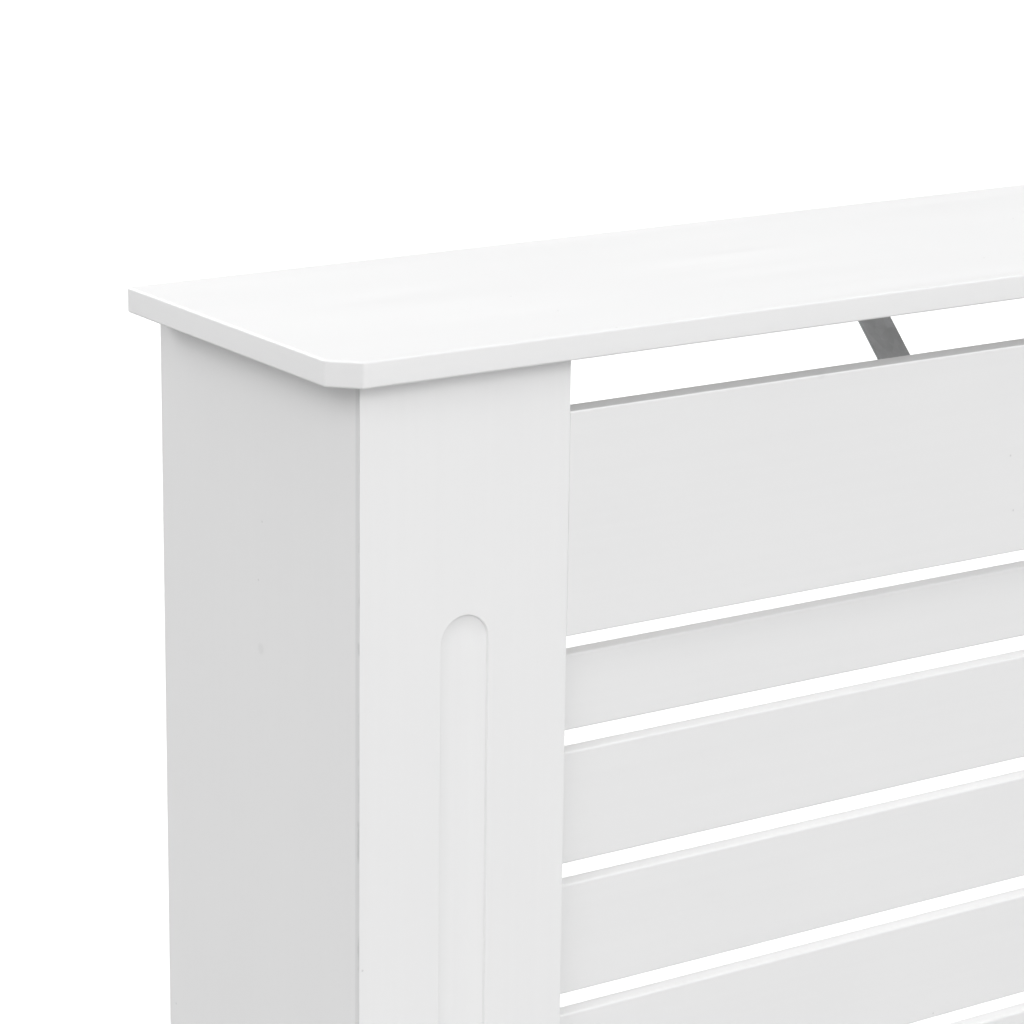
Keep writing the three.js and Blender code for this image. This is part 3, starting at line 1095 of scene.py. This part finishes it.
@dataclass
class Grille:
    """The two rails, the slats behind them and the dowels that hold the rails."""

    rail_arris: float = 0.9 * MM
    rail_end_arris: float = 0.35 * MM
    slat_arris: float = 1.1 * MM
    dowel_chamfer: float = 1.0 * MM
    dowel_flutes: int = 20
    points_per_flute: int = 4
    flute_share: float = 0.05
    dowel_sharpest: float = 35.0
    dowel_seed: int = 5
    # Strength of the painted shade on the rails' top and bottom faces.
    cut_edge_shade: float = 0.53
    wide_first_number: int = 1
    narrow_first_number: int = 11
    rails: tuple[str, ...] = ("top_rail", "bottom_rail")
    wide_rows: tuple[str, ...] = tuple(f"slat_{i}" for i in range(1, 7))
    narrow_rows: tuple[str, ...] = ("narrow_slat_upper", "narrow_slat_lower")

    def build(self) -> None:
        """Builds and finishes the rails, slats and dowels."""
        lengthwise = Run.ALONG_X, Run.ALONG_Y
        paint = SatinPaint("satin_paint_rails", *lengthwise, edge_shade=self.cut_edge_shade).material()
        for node in self.rails:
            dress(self.rail(node), paint, [node])
        paint = SatinPaint("satin_paint_slats", *lengthwise, by_board=True).material()
        tree = slat_rows_tree()
        for name, rows, number in (("wide_slats_painted", self.wide_rows, self.wide_first_number),
                                   ("narrow_slats_painted", self.narrow_rows, self.narrow_first_number)):
            piece = self.slats(tree, name, rows, number, paint)
            dress(piece, paint, rows)
        self.dowels()

    def rail(self, node: str) -> bpy.types.Object:
        """Makes a rail, whose ends butt tightly against the posts.

        Args:
            node: The rail's node.

        Returns:
            The rail.
        """
        low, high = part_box(node)
        piece = block(f"{node}_painted", low, high)

        def arris(first: Vector, second: Vector) -> float:
            """The arris between two corners, which is tight round the rail's two ends."""
            return self.rail_end_arris if abs(first.x - second.x) < MM else self.rail_arris

        soften(piece, self.rail_arris, arris)
        return piece

    def slats(self, tree: GeometryTree, name: str, rows: Sequence[str], number: int,
              paint: bpy.types.Material) -> bpy.types.Object:
        """Grows the slats of one height.

        Args:
            tree: The tree of slat rows.
            name: The new piece's name.
            rows: The slats' nodes, from the top down.
            number: The first slat's number in the paint's pattern.
            paint: The slats' finish.

        Returns:
            The slats, as one mesh.
        """
        low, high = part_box(rows[0])
        last_low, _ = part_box(rows[-1])
        middle = (low + high) / 2
        values = {"Length": high.x - low.x, "Thickness": high.y - low.y, "Height": high.z - low.z,
                  "Pitch": (low.z - last_low.z) / (len(rows) - 1), "Arris": self.slat_arris,
                  "Rows": len(rows), "First row": middle, "First number": number, "Finish": paint}
        piece = tree.grow(name, values)
        piece.data.shade_smooth()
        even_shading(piece)
        return piece

    def dowels(self) -> None:
        """Grows the fluted dowels between the rails and the posts."""
        nodes = [f"{side.word}_{rail}_dowel_{place}" for side in Side for rail in self.rails
                 for place in ("high", "low")]
        low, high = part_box(nodes[0])
        radius, length = (high.z - low.z) / 2, high.x - low.x
        chamfer, flutes = self.dowel_chamfer, self.dowel_flutes

        def fluted(widest: float) -> Radius:
            """The radius of a fluted section, as a function of the angle."""
            return lambda angle: widest * (1 - self.flute_share * max(0.0, math.cos(flutes * angle)))

        rings = [(-length / 2, fluted(radius - chamfer)), (-length / 2 + chamfer, fluted(radius)),
                 (length / 2 - chamfer, fluted(radius)), (length / 2, fluted(radius - chamfer))]
        master = turned("dowel_master", rings, self.points_per_flute * flutes)
        shade_by_angle(master, self.dowel_sharpest)
        beech = SawnTimber("beech_of_dowels", Run.ALONG_X, pale=(0.66, 0.45, 0.27), dark=(0.50, 0.30, 0.16),
                           ring=1.9 * MM, pith=(0.0, -60 * MM, 700 * MM), ring_strength=0.35).material()
        spots = [((a + b) / 2, Vector((1, 0, 0))) for a, b in map(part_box, nodes)]
        piece = set_fasteners("dowels_fluted", master, spots, beech, self.dowel_seed)
        dress(piece, beech, nodes)


def set_fasteners(name: str, master: bpy.types.Object, spots: Sequence[tuple[Vector, Vector]],
                  finish: bpy.types.Material, seed: int) -> bpy.types.Object:
    """Sets copies of a fastener at their places and removes the first one.

    Args:
        name: The new piece's name.
        master: The fastener, along +Z from the origin.
        spots: For each copy its place and its direction.
        finish: Its finish.
        seed: Seed of the turns about their own axes.

    Returns:
        The fasteners, as one mesh.
    """
    points = bpy.data.meshes.new(name)
    points.from_pydata([place for place, _ in spots], [], [])
    aim = points.attributes.new("aim", "FLOAT_VECTOR", "POINT")
    for entry, (_, direction) in zip(aim.data, spots):
        entry.vector = direction
    values = {"Shape": master, "Seed": seed, "Finish": finish}
    piece = fastener_tree().grow(name, values, points)
    bpy.data.objects.remove(master)
    return piece


@dataclass
class ScrewGroup:
    """Screws of one length: domed pan heads with a cross recess, and a coarse thread."""

    name: str
    nodes: Sequence[str]
    aims: Sequence[Vector]
    seed: int
    finish: bpy.types.Material
    head_radius: float = 3.75 * MM
    head_height: float = 2.2 * MM
    head_rim: float = 0.4 * MM
    head_steps: int = 9
    head_flat: float = 0.35
    head_fullness: float = 0.6
    head_wall: float = 0.1
    head_chamfer: float = 0.05
    core_radius: float = 1.2 * MM
    thread_radius: float = 1.75 * MM
    pitch: float = 1.5 * MM
    thread_share: float = 0.625
    rings_per_turn: int = 6
    tip_length: float = 2.6 * MM
    tip_radius: float = 0.15 * MM
    tip_scale: float = 0.12
    recess_length: float = 4.3 * MM
    recess_width: float = 0.95 * MM
    recess_depth: float = 1.25 * MM
    recess_taper: float = 0.62
    recess_start: float = 1.2
    sides: int = 24
    sharpest: float = 40.0

    def build(self) -> None:
        """Builds, sets and finishes the screws."""
        spots, length = [], 0.0
        for node, aim in zip(self.nodes, self.aims):
            low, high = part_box(node)
            middle, half = (low + high) / 2, (high - low) / 2
            reach = abs(half.dot(aim))
            spots.append((middle + aim * (self.head_height - reach), aim))
            length = 2 * reach - self.head_height
        piece = set_fasteners(self.name, self.screw(length), spots, self.finish, self.seed)
        dress(piece, self.finish, self.nodes)

    def screw(self, length: float) -> bpy.types.Object:
        """Makes one screw along +Z, with the underside of its head at the origin.

        Args:
            length: Length of the shank.

        Returns:
            The screw.
        """
        rings = []
        for i in range(self.head_steps):
            share = (i + self.head_flat) / (self.head_steps - 1 + self.head_flat)
            angle = math.pi / 2 * (1 - share)
            radius = self.head_radius * max(0.0, math.cos(angle)) ** self.head_fullness
            height = -self.head_rim - (self.head_height - self.head_rim) * math.sin(angle)
            rings.append((height, self._plain(radius)))
        rings.append((-self.head_wall * self.head_height, self._plain(self.head_radius)))
        rings.append((0.0, self._plain(self.head_radius - self.head_chamfer * self.head_height)))
        rings.append((0.0, self._plain(self.thread_radius)))
        step = self.pitch / self.rings_per_turn
        count = int(length / step)
        for i in range(1, count):
            height = length * i / count
            rings.append((height, self._threaded(height, length)))
        rings.append((length, self._plain(self.tip_radius)))
        screw = turned("screw_master", rings, self.sides)
        carve(screw, [self._recess(turn) for turn in (0, 1)])
        shade_by_angle(screw, self.sharpest)
        return screw

    @staticmethod
    def _plain(radius: float) -> Radius:
        """A round section."""
        return lambda angle: radius

    def _threaded(self, height: float, length: float) -> Radius:
        """A section through the thread, as a function of the angle.

        Args:
            height: Where the section is, from the head's underside.
            length: The shank's length.

        Returns:
            The radius at an angle.
        """
        taper = min(1.0, (length - height) / self.tip_length)
        rise = self.thread_radius - self.core_radius

        def radius(angle: float) -> float:
            """The section's radius at an angle.

            Args:
                angle: The angle.

            Returns:
                The radius.
            """
            phase = (height / self.pitch - angle / math.tau) % 1.0
            ridge = max(0.0, 1 - abs(phase - 0.5) * 2 / self.thread_share)
            return (self.core_radius + rise * ridge) * (self.tip_scale + (1 - self.tip_scale) * taper)

        return radius

    def _recess(self, turn: int) -> bpy.types.Object:
        """Makes the cutter of one slot of the cross recess, which narrows downwards.

        Args:
            turn: Quarter turns about the screw's axis.

        Returns:
            The cutter.
        """
        rings = []
        for height, scale in ((-self.recess_start * self.head_height, 1.0),
                              (self.recess_depth - self.head_height, self.recess_taper)):
            x, y = self.recess_length / 2 * scale, self.recess_width / 2 * scale
            rings.append([(x, y, height), (-x, y, height), (-x, -y, height), (x, -y, height)])
        cutter = loft("recess_cutter", rings)
        cutter.data.transform(Matrix.Rotation(turn * math.pi / 2, 4, "Z"))
        return cutter


@dataclass
class Ironwork:
    """The folded steel stay, the two wall brackets and all the screws."""

    thickness: float = 2 * MM
    stay_foot: float = 30 * MM
    fold_radius: float = 2.2 * MM
    edge_radius: float = 0.35 * MM
    hole_radius: float = 2.5 * MM
    hole_reach: float = 17 * MM
    drill_sides: int = 48

    def build(self) -> None:
        """Builds and finishes the ironwork."""
        tree = folded_strip_tree()
        steel = ZincSteel("zinc_plated_strip", Run.ALONG_Z).material()
        dress(self.stay(tree, steel), steel, ["corner_stay"])
        for side in Side:
            piece = self.bracket(tree, side, steel)
            dress(piece, steel, [f"{side.word}_wall_bracket"])
        self.screws()

    def stay(self, tree: GeometryTree, steel: bpy.types.Material) -> bpy.types.Object:
        """Folds the stay: a foot on the rail, a leg at 45 degrees and a foot under the top board.

        Args:
            tree: The tree of folded strips.
            steel: Its finish.

        Returns:
            The stay.
        """
        low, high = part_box("corner_stay")
        half = self.thickness / 2
        lift = half * math.sqrt(2) - half
        line = [(low.y + half, low.z + self.stay_foot), (low.y + half, low.z + half + lift + half),
                (high.y - half - lift - half, high.z - half), (high.y - self.stay_foot, high.z - half)]
        path = [Vector(((low.x + high.x) / 2, y, z)) for y, z in line]
        return self._fold(tree, "corner_stay_folded", path, high.x - low.x, Vector((1, 0, 0)), steel)

    def bracket(self, tree: GeometryTree, side: Side, steel: bpy.types.Material) -> bpy.types.Object:
        """Folds a wall bracket and drills its wall hole.

        Args:
            tree: The tree of folded strips.
            side: The bracket's leg.
            steel: Its finish.

        Returns:
            The bracket.
        """
        low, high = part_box(f"{side.word}_wall_bracket")
        half = self.thickness / 2
        outer = high.x if side is Side.RIGHT else low.x
        inner = low.x if side is Side.RIGHT else high.x
        height = (low.z + high.z) / 2
        path = [Vector((outer - side.value * half, low.y, height)),
                Vector((outer - side.value * half, high.y - half, height)),
                Vector((inner, high.y - half, height))]
        name = f"{side.word}_wall_bracket_folded"
        piece = self._fold(tree, name, path, high.z - low.z, Vector((0, 0, 1)), steel)
        place = Vector((outer - side.value * self.hole_reach, high.y - half, height))
        carve(piece, [self._drill(place)])
        shade_by_angle(piece)
        return piece

    def _drill(self, place: Vector) -> bpy.types.Object:
        """Makes the cutter of a hole along Y.

        Args:
            place: The hole's middle.

        Returns:
            The cutter.
        """
        reach = 2 * self.thickness
        rings = [(-reach, lambda angle: self.hole_radius), (reach, lambda angle: self.hole_radius)]
        drill = turned("drill", rings, self.drill_sides)
        drill.data.transform(Matrix.Translation(place) @ Matrix.Rotation(math.pi / 2, 4, "X"))
        return drill

    def _fold(self, tree: GeometryTree, name: str, path: Sequence[Vector], width: float, across: Vector,
              steel: bpy.types.Material) -> bpy.types.Object:
        """Folds a strip along its middle line.

        Args:
            tree: The tree of folded strips.
            name: The new piece's name.
            path: The corners of the middle line.
            width: The strip's width.
            across: The direction of its width.
            steel: Its finish.

        Returns:
            The strip.
        """
        line = bpy.data.meshes.new(name)
        line.from_pydata(path, [(i, i + 1) for i in range(len(path) - 1)], [])
        values = {"Width": width, "Thickness": self.thickness, "Fold radius": self.fold_radius,
                  "Edge radius": self.edge_radius, "Across": across, "Finish": steel}
        piece = tree.grow(name, values, line)
        shade_by_angle(piece)
        return piece

    def screws(self) -> None:
        """Builds each group of screws of one length."""
        zinc = ZincSteel("zinc_plated_screw", Run.ALONG_X, bright=(0.70, 0.70, 0.69), dull=(0.56, 0.56, 0.56),
                         roughness=(0.40, 0.24)).material()
        forward, up = Vector((0, -1, 0)), Vector((0, 0, 1))
        rows = Grille.wide_rows + Grille.narrow_rows
        slat_nodes = [f"{row}_screw_{side.word}" for row in rows for side in Side]
        top_nodes = [f"{side.word}_top_screw_{place}" for side in Side for place in ("front", "back")]
        bracket_nodes = [f"{side.word}_bracket_screw" for side in Side]
        bracket_aims = [Vector((side.value, 0, 0)) for side in Side]
        groups = [("slat_screws_threaded", slat_nodes, [forward] * len(slat_nodes)),
                  ("top_screws_threaded", top_nodes, [up] * len(top_nodes)),
                  ("stay_rail_screw_threaded", ["stay_rail_screw"], [forward]),
                  ("stay_top_screw_threaded", ["stay_top_screw"], [up]),
                  ("bracket_screws_threaded", bracket_nodes, bracket_aims)]
        for seed, (name, nodes, aims) in enumerate(groups):
            ScrewGroup(name, nodes, aims, seed, zinc).build()


# ------------------------------------------------------------------ studio


@dataclass(frozen=True)
class SoftLamp:
    """A large far lamp, whose heading is counted in degrees from straight ahead, to the right."""

    name: str
    energy: float
    heading: float
    height: float
    spread: float

    def build(self) -> None:
        """Hangs the lamp."""
        data = bpy.data.lights.new(self.name, "SUN")
        data.energy = self.energy
        data.angle = math.radians(self.spread)
        lamp = bpy.data.objects.new(self.name, data)
        bpy.context.scene.collection.objects.link(lamp)
        heading, height = math.radians(self.heading), math.radians(self.height)
        source = Vector((math.sin(heading) * math.cos(height), -math.cos(heading) * math.cos(height),
                         math.sin(height)))
        lamp.rotation_euler = source.to_track_quat("Z", "Y").to_euler()


@dataclass
class Studio:
    """The camera at the photograph's viewing angle, a pale floor and soft light.

    The sky's bands are pairs of the height in degrees where a band starts and its strength from there up.
    """

    eye: tuple[float, float, float] = (-1130.9 * MM, -1325.2 * MM, 1143.9 * MM)
    heading: float = math.radians(-33.997)
    pitch: float = math.radians(15.275)
    roll: float = math.radians(0.733)
    focal_pixels: float = 3499.4
    picture_pixels: float = 1024.0
    sensor: float = 36.0
    clip: Point = (0.01, 200.0)
    floor_reach: float = 60.0
    shown: float = 1.4
    sky: tuple[tuple[float, float], ...] = ((15, 0.57), (35, 0.0), (60, 1.02))
    sky_blend: float = 0.05
    lamps: tuple[SoftLamp, ...] = (SoftLamp("front_lamp", 0.82, heading=-3, height=22, spread=40),
                                   SoftLamp("left_lamp", 0.92, heading=-50, height=35, spread=40),
                                   SoftLamp("right_lamp", 0.79, heading=45, height=35, spread=40),
                                   SoftLamp("side_lamp", 0.97, heading=-135, height=31, spread=26),
                                   SoftLamp("back_lamp", 0.86, heading=180, height=25, spread=40),
                                   SoftLamp("high_back_lamp", 0.33, heading=180, height=50, spread=40))

    def build(self) -> None:
        """Builds the camera, the light and the floor."""
        self.camera()
        self.light()
        self.floor()

    def camera(self) -> None:
        """Places the camera."""
        data = bpy.data.cameras.new("camera")
        data.sensor_width = self.sensor
        data.lens = self.focal_pixels * self.sensor / self.picture_pixels
        data.clip_start, data.clip_end = self.clip
        camera = bpy.data.objects.new("camera", data)
        bpy.context.scene.collection.objects.link(camera)
        forward = Vector((-math.sin(self.heading) * math.cos(self.pitch),
                          math.cos(self.heading) * math.cos(self.pitch), -math.sin(self.pitch)))
        level = Vector((math.cos(self.heading), math.sin(self.heading), 0.0))
        above = level.cross(forward)
        right = level * math.cos(self.roll) + above * math.sin(self.roll)
        up = above * math.cos(self.roll) - level * math.sin(self.roll)
        turn = Matrix((right, up, -forward)).transposed().to_4x4()
        camera.matrix_world = Matrix.Translation(self.eye) @ turn
        bpy.context.scene.camera = camera

    def light(self) -> None:
        """Lights the cover by the lamps and by the sky's bands, over a dark horizon."""
        scene = bpy.context.scene
        scene.view_settings.view_transform = "Standard"
        world = bpy.data.worlds.new("white_studio")
        world.use_nodes = True
        scene.world = world
        graph = Graph(world.node_tree)
        up = graph.split(graph.add("ShaderNodeTexCoord").outputs["Generated"])["Z"]
        glow, before = 0.0, 0.0
        for height, level in self.sky:
            start = math.sin(math.radians(height))
            step = graph.spread(up, (start - self.sky_blend, start + self.sky_blend), (0.0, level - before))
            glow, before = graph.math("ADD", glow, step), level
        seen = graph.add("ShaderNodeLightPath").outputs["Is Camera Ray"]
        strength = graph.math("MAXIMUM", graph.math("MULTIPLY", seen, self.shown), glow)
        background = graph.add("ShaderNodeBackground", {"Color": (1.0, 1.0, 1.0, 1.0), "Strength": strength})
        graph.add("ShaderNodeOutputWorld", {"Surface": background.outputs["Background"]})
        for lamp in self.lamps:
            lamp.build()

    def floor(self) -> None:
        """Lays the floor."""
        reach = self.floor_reach
        mesh = bpy.data.meshes.new("floor")
        mesh.from_pydata([(-reach, -reach, 0), (reach, -reach, 0), (reach, reach, 0), (-reach, reach, 0)], [],
                         [(0, 1, 2, 3)])
        floor = new_object("floor", mesh)
        floor.data.materials.append(PaleFloor().material())


# ------------------------------------------------------------------ the whole cover


def build_legs() -> None:
    """Builds both legs in the finishes that they share."""
    panel_low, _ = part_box("left_side_panel")
    on_panels = SatinPaint("satin_paint_panels", Run.ALONG_Z, Run.ALONG_X, seam_place=panel_low.y)
    on_posts = SatinPaint("satin_paint_posts", Run.ALONG_Z, Run.ALONG_Y, bright=BRIGHTER_WHITE,
                          dull=BRIGHTER_WHITE_DULL)
    paints = on_panels.material(), on_posts.material()
    pale, dark, ring = (0.72, 0.53, 0.32), (0.50, 0.29, 0.13), 2.9 * MM
    pine = [SawnTimber(name, run, pale, dark, ring, pith).material()
            for name, run, pith in (("pine_of_corner_battens", Run.ALONG_Z, (0.0, 30 * MM, 0.0)),
                                    ("pine_of_top_battens", Run.ALONG_Y, (0.0, 0.0, 700 * MM)))]
    for side in Side:
        Leg(side, *paints, *pine).build()


def main() -> None:
    """Builds the studio and the cover."""
    logging.basicConfig(level=logging.INFO, format="%(name)s %(message)s")
    Studio().build()
    TopBoard().build()
    build_legs()
    Grille().build()
    Ironwork().build()


if __name__ == "__main__":
    main()
